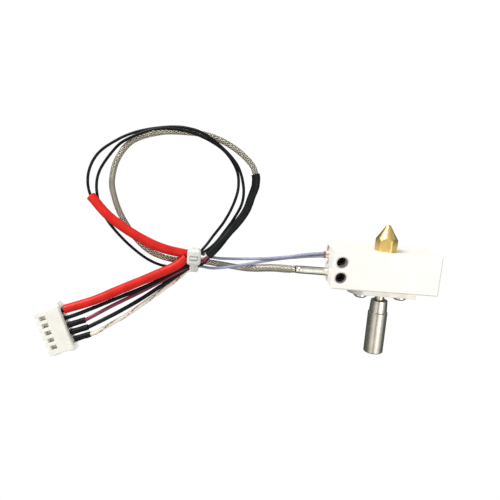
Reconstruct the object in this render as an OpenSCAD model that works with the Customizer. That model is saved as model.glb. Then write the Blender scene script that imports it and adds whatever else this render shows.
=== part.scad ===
// Hotend assembly: heater block with a brass nozzle and a stainless heat
// break, heater cartridge and sensor in cross bores, and a looped wiring
// harness that ends in a five-way plug.
// Frame: origin on the nozzle axis at the open end of the barrel, +Y along
// the axis towards the nozzle tip, +X along the block away from the leads,
// +Z out of the block's front face. The block's back lies on the plane
// z = floor_z together with the harness.

/* [Block] */
// Length of the heater block along X
block_l = 32.5; // [32:0.5:34]
// Height of the block along the nozzle axis
block_h = 12; // [12:0.25:13]
// Distance from the nozzle axis to the front face
front_z = 5; // [4.5:0.25:6]
// Distance from the nozzle axis to the back face
back_z = 11.5; // [11:0.25:13]
// Edge break on the block
edge_break = 0.35; // [0.1:0.05:0.6]

/* [Heat break] */
// Barrel diameter that the heat sink clamps on
barrel_d = 6; // [5.8:0.1:6.2]
// Length of the barrel
barrel_l = 13.2; // [12:0.2:14]
// Diameter of the stepped middle
mid_d = 5.3; // [5:0.1:5.6]
// Length of the stepped middle
mid_l = 3.75; // [3:0.25:4]
// Diameter of the thin neck
neck_d = 2.9; // [2.8:0.1:3.4]
// Filament bore diameter
bore_d = 2; // [1.9:0.05:2.1]

/* [Nozzle] */
// Hexagon size across flats
hex_af = 6; // [5.5:0.1:6.5]
// Height of the hexagon at its corners
hex_h = 3.6; // [3.2:0.1:4]
// Height of the cone from the corners to the tip
cone_h = 4.2; // [3.8:0.05:4.6]
// Flat at the tip
tip_d = 1.3; // [1:0.1:1.6]
// Outlet diameter
outlet_d = 0.4; // [0.3:0.1:0.8]
// Turn of the hexagon about the nozzle axis, degrees
hex_turn = 16; // [0:1:30]

/* [Heater and sensor] */
// Heater cartridge diameter
heater_d = 6; // [6:0.05:6.1]
// Heater cartridge length
heater_l = 29; // [26:1:30]
// Sensor tube diameter
sensor_d = 2.5; // [2.3:0.1:2.6]
// Length of sensor tube outside the block
sensor_out = 10.1; // [9.6:0.1:10.5]

/* [Wiring] */
// Heater lead diameter
lead_d = 0.9; // [0.8:0.05:0.95]
// Loop wire diameter
wire_d = 0.9; // [0.8:0.05:0.95]
// Sensor wire diameter
thin_d = 1; // [0.9:0.05:1]
// Braided cable diameter
braid_d = 1.9; // [1.8:0.05:1.95]
// Diameter of the loose braid next to the sensor tube
braid_loose_d = 2.5; // [2.2:0.1:2.5]
// Red sleeve outside diameter
sleeve_d = 3; // [3:0.05:3.2]
// Diameter of the wires to ways 1 and 2
plug_thin_d = 1.3; // [1.1:0.05:1.3]
// Diameter of the wires to ways 3 to 5
plug_wire_d = 1.34; // [1.2:0.02:1.34]
// Sections per millimetre of wire, more is smoother
wire_step = 0.42; // [0.3:0.02:0.5]

/* [Plug] */
// Pitch of the ways
pitch = 2.54; // [2.54:0.01:2.56]
// Depth of the housing
plug_l = 8.4; // [8.2:0.1:8.6]
// Thickness of the housing
plug_t = 5.75; // [5.5:0.05:6]

/* [Hidden] */

alu = "gainsboro";
steel = "silver";
cyl_fn = 64;
floor_z = -back_z;
left_x = -block_l/2;                 // block end that the leads leave from
neck_y = barrel_l + mid_l;
neck_l = 3.4;
block_y0 = neck_y + neck_l;          // cold face of the block
block_y1 = block_y0 + block_h;       // hot face of the block
thread_r = 3;                        // M6 threads, drawn at the major size
heater_yz = [block_y1 - 3.95, -7];   // axis of the heater bore
sensor_yz = [block_y0 + 3.35, -3.5]; // axis of the sensor bore
lead_shift = 0.5;                    // heater leads, either side of the bore axis in Y

// ---------------------------------------------------------------- curves
// A path is a list of knots. The curve through them is a Catmull-Rom spline,
// and spot(path, t) is the point at knot number t.
function last(path) = len(path) - 1;
// knot i, with one more knot mirrored past each end
function knot(path, i) = i < 0 ? 2*path[0] - path[1]
  : i > last(path) ? 2*path[last(path)] - path[last(path) - 1] : path[i];
function spot(path, t) =
  let (i = min(floor(t), len(path) - 2), u = t - i,
       before = knot(path, i - 1), start = knot(path, i),
       end = knot(path, i + 1), after = knot(path, i + 2))
  0.5 * (2*start + (end - before)*u + (2*before - 5*start + 4*end - after)*u*u
    + (3*start - before - 3*end + after)*u*u*u);
function unit(v) = v / norm(v);
function heading(path, t) =
  unit(spot(path, min(t + 0.02, last(path))) - spot(path, max(t - 0.02, 0)));
function across(path, t) = unit(cross([0, 0, 1], heading(path, t)));
function above(path, t) = cross(heading(path, t), across(path, t));
// the same path moved sideways and up
function beside(path, side, up) =
  [for (i = [0 : last(path)]) path[i] + side*across(path, i) + up*above(path, i)];

// number of sections between knots t0 and t1
function path_len(path) =
  let (steps = [for (i = [1 : last(path)]) norm(path[i] - path[i-1])])
  steps * [for (s = steps) 1];
function rows(path, t0, t1) =
  max(2, ceil(path_len(path) * wire_step * (t1 - t0) / last(path)));

// points round the path at t; radius is a number or a list of [t, radius]
function ring(path, t, radius, sides) =
  let (r = is_list(radius) ? lookup(t, radius) : radius)
  [for (k = [0 : sides - 1]) let (angle = 360*(k + 0.5)/sides)
    spot(path, t) + r*cos(angle)*across(path, t) + r*sin(angle)*above(path, t)];
function rings(path, radius, t0, t1, sides) =
  let (n = rows(path, t0, t1))
  [for (i = [0 : n]) each ring(path, t0 + (t1 - t0)*i/n, radius, sides)];

// triangles between two rings whose points start at index a and index b
function band(a, b, sides) = [for (k = [0 : sides - 1]) let (next = (k + 1) % sides) each
  [[a + k, b + k, b + next], [a + k, b + next, a + next]]];
function wall(first, n, sides) =
  [for (i = [0 : n - 1]) each band(first + i*sides, first + (i + 1)*sides, sides)];
function flip(faces) = [for (f = faces) [f[0], f[2], f[1]]];

// solid round wire along the path from knot t0 to t1; -1 is the last knot
module wire(path, radius, t0 = 0, t1 = -1, sides = 8) {
  t_end = t1 < 0 ? last(path) : t1;
  n = rows(path, t0, t_end);
  skin = rings(path, radius, t0, t_end, sides);
  centre = len(skin);
  caps = [for (k = [0 : sides - 1]) let (next = (k + 1) % sides) each
    [[centre, k, next], [centre + 1, n*sides + next, n*sides + k]]];
  polyhedron(
    points = concat(skin, [spot(path, t0), spot(path, t_end)]),
    faces = concat(wall(0, n, sides), caps));
}

// hollow sleeve along the path from knot t0 to t1
module sleeve(path, outer_r, inner_r, t0 = 0, t1 = -1, sides = 10) {
  t_end = t1 < 0 ? last(path) : t1;
  n = rows(path, t0, t_end);
  outer = rings(path, outer_r, t0, t_end, sides);
  inner = rings(path, inner_r, t0, t_end, sides);
  inside = len(outer);
  polyhedron(
    points = concat(outer, inner),
    faces = concat(
      wall(0, n, sides),
      flip(wall(inside, n, sides)),
      band(inside, 0, sides),
      band(n*sides, inside + n*sides, sides)));
}

// ---------------------------------------------------------------- solids
// box between two corners with all twelve edges broken
module broken_box(lo, hi, edge) {
  size = hi - lo;
  module outline(w, h) polygon([[edge, 0], [w - edge, 0], [w, edge], [w, h - edge],
    [w - edge, h], [edge, h], [0, h - edge], [0, edge]]);
  translate(lo) intersection() {
    linear_extrude(size[2]) outline(size[0], size[1]);
    translate([0, size[1], 0]) rotate([90, 0, 0])
      linear_extrude(size[1]) outline(size[0], size[2]);
    rotate([90, 0, 90]) linear_extrude(size[0]) outline(size[1], size[2]);
  }
}
// cylinder along +Y
module rod_y(radius, y0, y1)
  translate([0, y0, 0]) rotate([-90, 0, 0])
    cylinder(r = radius, h = y1 - y0, $fn = cyl_fn);
// cylinder along +X with its axis at [y, z]
module rod_x(radius, yz, x0, x1, facets = cyl_fn)
  translate([x0, yz[0], yz[1]]) rotate([0, 90, 0])
    cylinder(r = radius, h = x1 - x0, $fn = facets);
// solid turned about the Y axis from [radius, y] points
module turned_y(profile, facets = cyl_fn)
  rotate([-90, 0, 0]) rotate_extrude($fn = facets) polygon(profile);

// ---------------------------------------------------------------- block
bore_gap = 0.05;           // radial clearance in the cross bores
grub_x = left_x + 2.75;
grub_hole_r = 1.7;
screw_xs = [-6.1, 6.1];    // plate screws, either side of the nozzle axis
plate_t = 1.45;
plate_y = block_y0 - plate_t;
plate_r = 4.2;             // round end of the plate, half its width
plate_right_x = 9.8;

module heater_block() color(alu) difference() {
  broken_box([left_x, block_y0, floor_z], [-left_x, block_y1, front_z], edge_break);
  rod_y(thread_r, block_y0 - 1, block_y1 + 1);
  rod_x(heater_d/2 + bore_gap, heater_yz, left_x - 1, left_x + heater_l - 0.3);
  rod_x(sensor_d/2 + bore_gap, sensor_yz, left_x - 1, left_x + 10.6);
  // grub-screw holes with countersunk mouths
  for (yz = [heater_yz, sensor_yz]) translate([grub_x, yz[0], 0]) {
    translate([0, 0, yz[1]])
      cylinder(r = grub_hole_r, h = front_z - yz[1] + 1, $fn = cyl_fn);
    translate([0, 0, front_z - 0.4])
      cylinder(r1 = grub_hole_r, r2 = 2.15, h = 0.45, $fn = cyl_fn);
  }
  // tapped holes for the cold-side plate
  for (x = screw_xs) translate([x, 0, 0]) rod_y(1.05, block_y0 - 1, block_y0 + 4.6);
}

break_y1 = block_y0 + 6.3;             // end of the heat break inside the block
break_thread_r = thread_r - 0.03;
module heat_break() color(steel) difference() {
  turned_y([
    [0, 0], [barrel_d/2 - 0.3, 0], [barrel_d/2, 0.3],
    [barrel_d/2, barrel_l - 0.25], [barrel_d/2 - 0.25, barrel_l],
    [mid_d/2 + 0.1, barrel_l], [mid_d/2 - 0.1, neck_y - 0.2], [mid_d/2 - 0.3, neck_y],
    [neck_d/2, neck_y], [neck_d/2, block_y0],
    [thread_r - 0.35, block_y0], [break_thread_r, block_y0 + 0.4],
    [break_thread_r, break_y1], [0, break_y1]]);
  rod_y(bore_d/2, -1, block_y0 + 7);
}

module cold_side_plate() color(alu)
  translate([0, block_y0, 0]) rotate([90, 0, 0]) linear_extrude(plate_t) difference() {
    union() {
      translate([screw_xs[0], 0]) circle(r = plate_r, $fn = cyl_fn);
      translate([screw_xs[0], -plate_r]) square([plate_right_x - screw_xs[0], 2*plate_r]);
    }
    circle(r = thread_r + 0.15, $fn = cyl_fn);
    for (x = screw_xs) translate([x, 0]) circle(r = 1.35, $fn = 48);
  }

// [radius, y] from the underside of the head
screw_profile = [[0, -1.5], [1.5, -1.5], [2.1, -1.0], [2.1, 0],
  [1.0, 0], [1.0, 5.2], [0, 5.2]];
module plate_screws() color(steel)
  for (x = screw_xs) translate([x, plate_y, 0]) difference() {
    turned_y(screw_profile, 48);
    // cross recess
    for (angle = [0, 90]) translate([0, -1.6, 0]) rotate([0, angle, 0])
      translate([-1.1, 0, -0.2]) cube([2.2, 0.9, 0.4]);
  }

// ---------------------------------------------------------------- heater and sensor
heater_fill_r = heater_d/2 - 0.42;     // core and end seal inside the can

module heater_cartridge() color(steel) difference() {
  rod_x(heater_d/2, heater_yz, left_x + 0.3, left_x + heater_l - 0.5);
  rod_x(heater_d/2 - 0.4, heater_yz, left_x - 1, left_x + heater_l - 1.1);
}
// pair of rods on the two lead positions
module lead_pair(radius, x0, x1)
  for (side = [-1, 1]) rod_x(radius, heater_yz + [lead_shift*side, 0], x0, x1);
module heater_core() color("ivory") difference() {
  rod_x(heater_fill_r, heater_yz, left_x + 2.2, left_x + heater_l - 1.3);
  lead_pair(0.4, left_x + 2, left_x + heater_l - 3);
}
module heater_end_seal() color("tan") difference() {
  union() {
    rod_x(heater_fill_r, heater_yz, left_x + 0.5, left_x + 2.1);
    lead_pair(0.62, left_x - 1.3, left_x + 0.6);
  }
  lead_pair(lead_d/2 + 0.06, left_x - 2, left_x + 3);
}
module sensor_tube() color(steel) difference() {
  rod_x(sensor_d/2, sensor_yz, left_x - sensor_out, left_x + 10.4);
  rod_x(sensor_d/2 - 0.3, sensor_yz, left_x - sensor_out - 1, left_x + 9.9);
}
module sensor_bead() color("darkgoldenrod") union() {
  rod_x(0.35, sensor_yz, left_x - 6, left_x + 8.4);
  translate([left_x + 8.6, sensor_yz[0], sensor_yz[1]]) sphere(r = 0.8, $fn = 32);
}

// ---------------------------------------------------------------- nozzle and grub screws
shank_y = block_y0 + 6.4;              // inner end of the nozzle's place in the block
cone_y = block_y1 + hex_h;
tip_y = cone_y + cone_h;
hex_turned_r = hex_af/2 + 0.36;        // turning that rounds off the corners

module nozzle() color("goldenrod") rotate([0, -hex_turn, 0]) difference() {
  union() {
    intersection() {
      translate([0, block_y1, 0]) rotate([-90, 0, 0])
        cylinder(r = hex_af/2/cos(30), h = hex_h + cone_h, $fn = 6);
      turned_y([
        [0, block_y1], [hex_af/2 + 0.3, block_y1], [hex_turned_r, block_y1 + 0.1],
        [hex_turned_r, cone_y - 0.15], [hex_af/2 + 0.28, cone_y],
        [1.95, cone_y + cone_h*0.48], [tip_d/2, tip_y], [0, tip_y]]);
    }
    rod_y(thread_r - 0.05, shank_y + 0.05, block_y1 + 0.5);
  }
  // filament bore, taper and outlet
  turned_y([[0, shank_y - 1], [bore_d/2, shank_y - 1], [bore_d/2, cone_y + 1.6],
    [outlet_d/2, tip_y - 0.8], [outlet_d/2, tip_y + 1], [0, tip_y + 1]]);
}

// [radius, z] from the inner end
grub_profile = [[0, 0], [1.3, 0], [1.65, 0.35], [1.65, 3.75], [1.4, 4], [0, 4]];
// grub screw just clear of a part of the given diameter in a cross bore
module grub_screw(yz, part_d)
  translate([grub_x, yz[0], yz[1] + part_d/2 + 0.04]) difference() {
    rotate_extrude($fn = 48) polygon(grub_profile);
    translate([0, 0, 2]) cylinder(r = 1/cos(30), h = 3, $fn = 6);
  }
module grub_screw_heater() color("dimgray") grub_screw(heater_yz, heater_d);
module grub_screw_sensor() color("dimgray") grub_screw(sensor_yz, sensor_d);

// ---------------------------------------------------------------- plug placement
plug_at = [-102.0, -3.4, floor_z];
plug_turn = 201.9;                     // heading of the mating face, degrees from +X
mate_dir = [cos(plug_turn), sin(plug_turn), 0];
row_dir = [-sin(plug_turn), cos(plug_turn), 0];
pin_z = plug_t/2;
wire_in = 2.5;                         // how far each wire runs into the housing
pin_sleeve_back = 5.9;                 // far end of the pin sleeves
// point on the axis of a way (1 to 5), a distance behind the housing
function pin(way, behind) =
  plug_at - mate_dir*(plug_l/2 + behind) + row_dir*pitch*(way - 3) + [0, 0, pin_z];
function way_entry(way) = [pin(way, 3), pin(way, -wire_in)];
function sleeved_entry(way) = concat([pin(way, pin_sleeve_back)], way_entry(way));

// ---------------------------------------------------------------- paths
// All knots are [x, y, z].
low = floor_z + 0.75;      // height of a wire's centre where it lies down

// upper red sleeve: from the tie out to the loop
red_up_path = [[-61.8, 24.9, -8.6], [-69.8, 26.75, -7.0], [-77.9, 30.45, -6.45],
  [-85.7, 35.3, -6.8], [-91.9, 40.85, -8.9]];

// heater leads: short tails at the block, then on through the tie
tail_up_path = [[left_x - 1.0, heater_yz[0] + lead_shift, -7], [-20, 28.5, -6.85],
  [-23.5, 27.95, -6.8], [-26, 27.4, -6.85]];
tail_low_path = [[left_x - 1.0, heater_yz[0] - lead_shift, -7], [-20, 27.6, -7.15],
  [-23.5, 27.1, -7.5], [-26, 26.65, -7.7]];
lead_up_path = [[-29.0, 26.7, -7.0], [-36, 25.5, -7.8], [-44, 24.35, -9.7],
  [-51.5, 23.85, low + 0.1], [-56.2, 24.9, -10.1], [-60.0, 25.2, -9.9],
  spot(red_up_path, 0.18) + [0, 0, -0.2], spot(red_up_path, 0.4), spot(red_up_path, 0.65)];
lead_low_path = [[-29.0, 26.15, -7.9], [-36, 24.6, -8.1], [-41, 23.3, -7.9],
  [-47.5, 21.8, -7.8], [-52.5, 20.8, -8.8], [-56.2, 20.85, -9.8],
  [-60.4, 20.85, -10.1], [-62.2, 20.3, -10.3], [-64.5, 19.9, -10.4]];

// braided sensor cable: tie, then round the loop to the break-out sleeve
cable_path = [[-28.9, sensor_yz[0] - 0.3, -4.4], [-34, 22.85, -6.7], [-42, 21.5, -9.6],
  [-50.5, 22.1, -10.1], [-56.2, 22.7, -9.6], [-60.4, 22.8, -9.6],
  [-65.4, 22.4, -10.1], [-72.2, 24.2, -10.1], [-77.6, 28.4, -10.1],
  [-82.5, 35.3, -10.1], [-85.2, 42, -10.1], [-85.8, 47, -10.1],
  [-84.2, 53.4, -10.1], [-79.8, 59, -10.1], [-72.2, 62, -10.1],
  [-64.8, 62.8, -10.1], [-56.3, 62.3, -10.1], [-48.7, 59.4, -10.1],
  [-42.7, 54.75, -9.9], [-40.85, 50.5, -9.7], [-40.85, 47.9, -9.7]];
breakout_path = [spot(cable_path, 18.7), cable_path[19], cable_path[20],
  [-41.65, 44.8, -9.6], [-43.15, 40.2, -9.2], [-45.8, 35.75, -8.8],
  [-48.75, 31.85, -8.5], [-51.35, 28.2, -8.0], [-53.95, 25.0, -7.7]];
// sensor wire: offset in the break-out sleeve, then to its place in the tie
function sensor_path(side, up, mid_z, tie_yz) =
  let (offset = beside(breakout_path, side, up))
  concat([for (k = [2 : 8]) offset[k]],
    [[-55.7, (24.2 + 3*tie_yz[0])/4, mid_z],
     [-57.5, tie_yz[0], tie_yz[1]], [-61.0, tie_yz[0], tie_yz[1]]]);

// loop wires: out of the splices, round the loop and back to the tie
outer_path = [for (k = [1 : 4]) red_up_path[k], each
  [[-93.5, 47.4, low], [-90.75, 54.0, low], [-84.55, 59.0, low],
  [-77.85, 62.1, low], [-69.5, 63.95, low], [-63.1, 64.1, -9.3],
  [-57.4, 62.55, -8.0], [-51.75, 58.85, -8.0], [-46.85, 53.85, -9.0],
  [-44.6, 47.6, low], [-44.6, 42.3, low], [-46.75, 37.2, low],
  [-49.55, 32.6, low], [-52.2, 28.8, -9.7], [-55.1, 26.2, -8.8],
  [-57.8, 24.9, -7.75], [-61.0, 24.9, -7.8]]];
inner_path = [lead_low_path[8], [-69.7, 20.2, low], [-75.5, 22.8, low],
  [-82.6, 28.45, low], [-88.15, 35.05, low], [-90.6, 42, low],
  [-90.2, 48.2, low], [-86.7, 54.3, low + 0.3], [-82.0, 58.9, -9.1],
  [-73.0, 62.9, -8.0], [-64.8, 63.3, -7.9], [-57.75, 61.6, -8.4],
  [-51.4, 58.1, -9.7], [-47.3, 52.9, -10.3], [-46.15, 47.6, -10.4],
  [-47.2, 42.0, -10.4], [-49.7, 36.2, -10.4], [-53.1, 30.9, -10.3],
  [-55.3, 27.6, -9.4], [-57.5, 25.3, -8.85], [-60.2, 25.3, -8.8]];

// lower red sleeve and the wires from the tie to the plug
red_low_run = [[-71, 17.2, -7.2], [-81.6, 11.4, -9.2], [-90.3, 6.9, -9.4]];
red_low_path = concat([[-64, 21.2, -6.5]], red_low_run,
  [pin(1, 0.8) - row_dir*0.3 + [0, 0, -0.2]]);
plug_path_1 = concat([[-63.8, 21.3, -6.5]], red_low_run, way_entry(1));
plug_path_2 = concat([[-63.8, 19.3, -7.9], [-71.8, 13.9, -9.4], [-82.4, 8.2, -10.5],
  [-90.7, 4.0, low + 0.35]], way_entry(2));
plug_path_3 = concat([[-63.8, 18.4, -8.95], [-68.8, 14.95, -9.95], [-75.4, 10.6, low],
  [-84.6, 5.1, low], pin(3, 8) + [0, 0.4, 0]], sleeved_entry(3));
plug_path_4 = concat([[-63.8, 17.2, -9.95], [-68.9, 13.15, -10.4], [-74.9, 8.4, low],
  [-82.6, 3.1, low + 0.1], pin(4, 8) + [0, 0.3, 0]], sleeved_entry(4));
plug_path_5 = concat([[-63.8, 15.75, -10.75], [-70.6, 9.85, low], [-78.6, 3.2, low],
  [-84.2, -0.8, low + 0.05], pin(5, 8)], sleeved_entry(5));

// ---------------------------------------------------------------- harness
// [knot number, radius]: the braid tightens away from the sensor tube
cable_radii = [[0, braid_loose_d/2], [1.5, braid_loose_d/2], [2.6, braid_d/2]];

module heater_tail_upper() color("slateblue") wire(tail_up_path, lead_d/2);
module heater_tail_lower() color("slateblue") wire(tail_low_path, lead_d/2);
module heater_lead_upper() color("slateblue") wire(lead_up_path, lead_d/2);
module heater_lead_lower() color("slateblue") wire(lead_low_path, lead_d/2, t1 = 7.85);
module sensor_cable() color("darkkhaki") wire(cable_path, cable_radii, sides = 10);
module breakout_sleeve() color("black") sleeve(breakout_path, 1.34, 1.18);

module sensor_wire(path) wire(path, thin_d/2, t0 = 0.35);
module sensor_wire_maroon() color("maroon")
  sensor_wire(sensor_path(0, 0.58, -6.7, [22.9, -7.3]));
module sensor_wire_black() color("black")
  sensor_wire(sensor_path(0.5, -0.29, -7.5, [21.6, -7.8]));
module sensor_wire_white() color("white")
  sensor_wire(sensor_path(-0.5, -0.29, -7.8, [23.7, -8.05]));

module loop_wire_outer() color("black") wire(outer_path, wire_d/2, t0 = 0.05);
module loop_wire_inner() color("black") wire(inner_path, wire_d/2, t0 = 0.2);

module red_sleeve(path) sleeve(path, sleeve_d/2, sleeve_d/2 - 0.3);
module red_sleeve_upper() color("red") red_sleeve(red_up_path);
module red_sleeve_lower() color("red") red_sleeve(red_low_path);

// crimped ferrule between a heater lead and a loop wire
module splice(path, t0, t1) sleeve(path, 0.85, 0.62, t0, t1, sides = 8);
module splice_outer() color(steel) splice(red_up_path, 0.42, 1.14);
module splice_inner() color(steel)
  splice([lead_low_path[7], lead_low_path[8], [-67.1, 19.95, -10.5]], 0.45, 1.6);

// ---------------------------------------------------------------- cable tie
tie_x = -58.3;
tie_y = 20.2;              // inside of the strap at its low-Y side
tie_w = 5.9;               // inside width of the strap along Y
tie_top = 4.85;            // inside of the strap's top above the floor
strap_t = 0.9;             // strap thickness at the sides and top
strap_floor_t = 0.8;       // strap thickness on the floor
strap_w = 2.5;             // strap width along X
tie_head_z = floor_z + tie_top + 0.5;

module rounded_rect(lo, size, radius, facets) {
  translate([lo[0] + radius, lo[1]]) square([size[0] - 2*radius, size[1]]);
  translate([lo[0], lo[1] + radius]) square([size[0], size[1] - 2*radius]);
  for (x = [radius, size[0] - radius]) for (y = [radius, size[1] - radius])
    translate(lo + [x, y]) circle(r = radius, $fn = facets);
}
module cable_tie() color("whitesmoke") union() {
  // strap: a closed band round the bundle
  translate([tie_x - strap_w/2, 0, 0]) rotate([90, 0, 90])
    linear_extrude(strap_w) difference() {
      rounded_rect([tie_y - strap_t, floor_z], [tie_w + 2*strap_t, tie_top + strap_t],
        1.6, 32);
      rounded_rect([tie_y, floor_z + strap_floor_t], [tie_w, tie_top - strap_floor_t],
        0.7, 24);
    }
  // head with a slot in its top
  difference() {
    broken_box([tie_x - 2.1, 22.4, tie_head_z], [tie_x + 2.1, 27.2, tie_head_z + 2.8], 0.6);
    translate([tie_x - 1.22, 23.9, tie_head_z + 0.45]) cube([2.44, 1.4, 4]);
  }
  // cut tail standing in the slot
  translate([tie_x - 1.12, 24.1, tie_head_z + 0.2]) cube([2.24, 1.0, 2.7]);
}

// ---------------------------------------------------------------- plug
// In the plug's own frame +X is the mating direction and +Y the row of ways.
rear_x = -plug_l/2;
mate_x = plug_l/2;
plug_w = pitch*6;

module plug_wire_1() color("black") wire(plug_path_1, plug_thin_d/2);
module plug_wire_2() color("black") wire(plug_path_2, plug_thin_d/2);
module plug_wire_3() color("maroon") wire(plug_path_3, plug_wire_d/2 - 0.05);
module plug_wire_4() color("black") wire(plug_path_4, plug_wire_d/2);
module plug_wire_5() color("white") wire(plug_path_5, plug_wire_d/2);
module pin_sleeves() color("black") for (way = [3 : 5])
  sleeve([for (behind = [pin_sleeve_back, 4.0, 2.2, 0.5]) pin(way, behind)], 1.0, 0.74);

module on_plug() translate(plug_at) rotate([0, 0, plug_turn]) children();
module at_ways() for (k = [-2 : 2]) translate([0, k*pitch, pin_z]) children();
// box along X, centred across Y
module bar(x0, x1, width, z0, height)
  translate([x0, -width/2, z0]) cube([x1 - x0, width, height]);

module plug_housing() color("ivory") on_plug() difference() {
  union() {
    broken_box([rear_x, -plug_w/2, 0], [mate_x, plug_w/2, plug_t], 0.25);
    // rear lugs
    bar(rear_x + 0.2, rear_x + 1.8, plug_w + 1.4, 0.6, plug_t - 2);
    // key at the mating face, beside way 5
    translate([mate_x - 2.4, plug_w/2 - 0.4, 1.2]) cube([2.4, 1.5, 1.4]);
  }
  at_ways() {
    bar(rear_x - 1, mate_x + 1, 2.24, -1.15, 2.3);
    // window over the terminal's latch
    bar(mate_x - 3.5, mate_x - 1.4, 1.5, 0, 4);
    // guide slot in the mating face
    bar(mate_x - 0.9, mate_x + 1.1, 1.1, 0, 4);
  }
}
module crimp_terminals() color(steel) on_plug() at_ways() {
  difference() {
    // round crimp barrel and square socket
    union() {
      rod_x(0.98, [0, 0], rear_x + 0.6, rear_x + 3.2, 32);
      bar(rear_x + 2.9, mate_x - 1, 1.9, -0.95, 1.9);
    }
    rod_x(0.74, [0, 0], rear_x, rear_x + 2.7, 32);
    bar(rear_x + 3.1, mate_x + 3.1, 1.44, -0.72, 1.44);
  }
  // latch tongue that shows in the window
  bar(mate_x - 3.2, mate_x - 2, 1, 0.9, 0.3);
}

heater_block();
heat_break();
cold_side_plate();
plate_screws();
heater_cartridge();
heater_core();
heater_end_seal();
sensor_tube();
sensor_bead();
heater_tail_upper();
heater_tail_lower();
nozzle();
grub_screw_heater();
grub_screw_sensor();
heater_lead_upper();
heater_lead_lower();
sensor_cable();
breakout_sleeve();
sensor_wire_maroon();
sensor_wire_black();
sensor_wire_white();
loop_wire_outer();
loop_wire_inner();
red_sleeve_upper();
splice_outer();
splice_inner();
cable_tie();
red_sleeve_lower();
plug_wire_1();
plug_wire_2();
plug_wire_3();
plug_wire_4();
plug_wire_5();
pin_sleeves();
plug_housing();
crimp_terminals();
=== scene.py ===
# A printer hot end with its wiring, lying on a white floor.
# The heat break and nozzle lie along Y. The heater and sensor leads leave the block towards -X,
# pass through a cable tie, and end in a looped cable and a five-way plug.
# Shapes are given in millimetres in the CAD frame (+Z up) and scaled to metres when meshed.
# Materials, the stage and the lights are in metres.
import bmesh, bpy, math
import numpy as np
from mathutils import Vector, Matrix, noise as mnoise


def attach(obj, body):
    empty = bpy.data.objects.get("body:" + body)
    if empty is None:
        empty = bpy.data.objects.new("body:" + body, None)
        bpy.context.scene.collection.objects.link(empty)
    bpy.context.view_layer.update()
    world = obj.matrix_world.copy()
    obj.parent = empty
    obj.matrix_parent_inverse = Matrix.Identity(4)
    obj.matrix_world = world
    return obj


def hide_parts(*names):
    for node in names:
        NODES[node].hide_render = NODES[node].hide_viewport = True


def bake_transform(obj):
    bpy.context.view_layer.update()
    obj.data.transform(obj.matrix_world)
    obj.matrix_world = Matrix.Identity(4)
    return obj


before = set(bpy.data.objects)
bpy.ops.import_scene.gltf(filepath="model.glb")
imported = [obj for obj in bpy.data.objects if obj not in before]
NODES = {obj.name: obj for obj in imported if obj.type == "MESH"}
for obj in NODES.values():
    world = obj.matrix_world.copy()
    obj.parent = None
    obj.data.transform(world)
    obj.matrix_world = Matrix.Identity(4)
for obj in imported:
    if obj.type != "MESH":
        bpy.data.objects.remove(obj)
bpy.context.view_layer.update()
MM = 0.001
FLOOR_Z = -11.5
SCENE = bpy.context.scene
SCENE.view_settings.view_transform = "Standard"
SCENE.view_settings.look = "None"


# ------------------------------------------------------------------ shader node helpers
class Graph:
    """Short calls that add nodes to one shader tree."""

    def __init__(self, tree):
        self.tree = tree

    def feed(self, socket, value):
        """Link another socket, or set a value; a three-part colour gets alpha 1."""
        if isinstance(value, bpy.types.NodeSocket):
            self.tree.links.new(value, socket)
        elif socket.type == "RGBA" and len(value) == 3:
            socket.default_value = (*value, 1.0)
        else:
            socket.default_value = value

    def set(self, node, **inputs):
        """Feed inputs by name, with _ for each space."""
        for name, value in inputs.items():
            self.feed(node.inputs[name.replace("_", " ")], value)

    def add(self, kind, props=None, **inputs):
        node = self.tree.nodes.new("ShaderNode" + kind)
        for name, value in (props or {}).items():
            setattr(node, name, value)
        self.set(node, **inputs)
        return node

    def math(self, operation, a, b=0.0):
        node = self.add("Math", {"operation": operation})
        self.feed(node.inputs[0], a)
        self.feed(node.inputs[1], b)
        return node.outputs[0]

    def split(self, vector):
        return self.add("SeparateXYZ", Vector=vector).outputs

    def join(self, x, y, z=0.0):
        return self.add("CombineXYZ", X=x, Y=y, Z=z).outputs[0]

    def ramp(self, factor, *stops):
        """Each stop is (position, colour)."""
        node = self.add("ValToRGB")
        self.feed(node.inputs[0], factor)
        elements = node.color_ramp.elements
        while len(elements) < len(stops):
            elements.new(0.5)
        for element, (position, colour) in zip(elements, stops):
            element.position = position
            element.color = (*colour, 1.0)
        return node.outputs[0]

    def two_tone(self, factor, dark, light):
        """The middle of a noise's range, spread between two colours."""
        return self.ramp(factor, (0.3, dark), (0.7, light))

    def remap(self, value, span=(0.3, 0.7), to=(0.0, 1.0), interpolation="LINEAR"):
        node = self.add("MapRange", {"interpolation_type": interpolation}, Value=value,
                        From_Min=span[0], From_Max=span[1], To_Min=to[0], To_Max=to[1])
        return node.outputs[0]

    def mix(self, factor, a, b):
        node = self.add("Mix", {"data_type": "RGBA"})
        colours = [i for i in node.inputs if i.type == "RGBA"]
        self.feed(node.inputs[0], factor)
        self.feed(colours[0], a)
        self.feed(colours[1], b)
        return [o for o in node.outputs if o.type == "RGBA"][0]


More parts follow.
